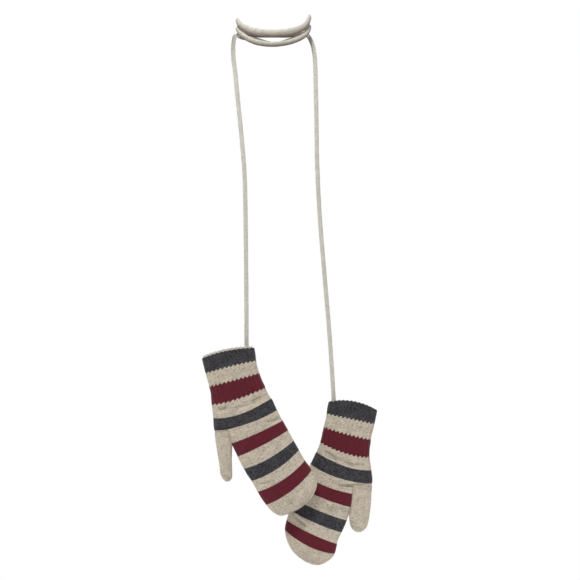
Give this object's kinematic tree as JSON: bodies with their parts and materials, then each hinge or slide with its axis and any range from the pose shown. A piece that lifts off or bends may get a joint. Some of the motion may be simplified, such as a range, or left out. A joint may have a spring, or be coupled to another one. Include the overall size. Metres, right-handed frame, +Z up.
{
  "type": "knitted mittens",
  "caption": "Pair of striped knitted mittens with ribbed cuffs and side thumbs, joined by one long knitted cord that is worn round the neck.",
  "frame": {"origin": "middle of the neck that the cord is wound round, level with the sides of its turns", "axes": "+Z up, the mittens hang below the origin; the front faces -Y; +X to the right seen from the front"},
  "size_m": [0.2791, 0.1159, 0.881],
  "materials": {
    "striped_wool": "fine wool knit striped in charcoal, oatmeal and burgundy, matt, lightly felted",
    "oatmeal_wool": "heathered oatmeal wool knit, matt",
    "cord_wool": "greige wool cord, knitted as a narrow tube, matt",
    "charcoal_wool": "charcoal wool knit, matt"
  },
  "bodies": {
    "root": {"neck_cord": "cord_wool", "left_cord_tack": "cord_wool", "right_cord_tack": "cord_wool"},
    "left_hand": {"left_cuff": "striped_wool", "left_cuff_facing": "oatmeal_wool", "left_cast_on_edge": "charcoal_wool", "left_palm": "striped_wool"},
    "left_finger_end": {"left_fingers": "striped_wool", "left_tip_seam": "oatmeal_wool"},
    "left_thumb_end": {"left_thumb": "oatmeal_wool", "left_thumb_seam": "oatmeal_wool", "left_thumb_gather": "oatmeal_wool"},
    "right_hand": {"right_cuff": "striped_wool", "right_cuff_facing": "oatmeal_wool", "right_cast_on_edge": "charcoal_wool", "right_palm": "striped_wool"},
    "right_finger_end": {"right_fingers": "striped_wool", "right_tip_seam": "oatmeal_wool"},
    "right_thumb_end": {"right_thumb": "oatmeal_wool", "right_thumb_seam": "oatmeal_wool", "right_thumb_gather": "oatmeal_wool"}
  },
  "joints": [
    {"name": "left_swing", "type": "hinge", "parent": "root", "child": "left_hand", "pos_m": [-0.043, -0.0075, -0.5186], "axis": [0, 1, 0], "range_deg": [-45, 45]},
    {"name": "left_thumb_flex", "type": "hinge", "parent": "left_hand", "child": "left_thumb_end", "pos_m": [-0.08129, -0.0135, -0.64299], "axis": [0, 1, 0], "range_deg": [0, 25], "stiffness_Nm_per_rad": 0.03},
    {"name": "left_finger_curl", "type": "hinge", "parent": "left_hand", "child": "left_finger_end", "pos_m": [-0.00708, -0.025, -0.68957], "axis": [-0.866, 0, -0.5], "range_deg": [0, 70], "stiffness_Nm_per_rad": 0.06},
    {"name": "right_swing", "type": "hinge", "parent": "root", "child": "right_hand", "pos_m": [0.0965, 0.0195, -0.5996], "axis": [0, 1, 0], "range_deg": [-45, 45]},
    {"name": "right_thumb_flex", "type": "hinge", "parent": "right_hand", "child": "right_thumb_end", "pos_m": [0.13942, 0.0135, -0.729], "axis": [0, -1, 0], "range_deg": [0, 25], "stiffness_Nm_per_rad": 0.03},
    {"name": "right_finger_curl", "type": "hinge", "parent": "right_hand", "child": "right_finger_end", "pos_m": [0.07808, 0.025, -0.77566], "axis": [0.9304, 0, -0.3665], "range_deg": [0, 70], "stiffness_Nm_per_rad": 0.06}
  ]
}
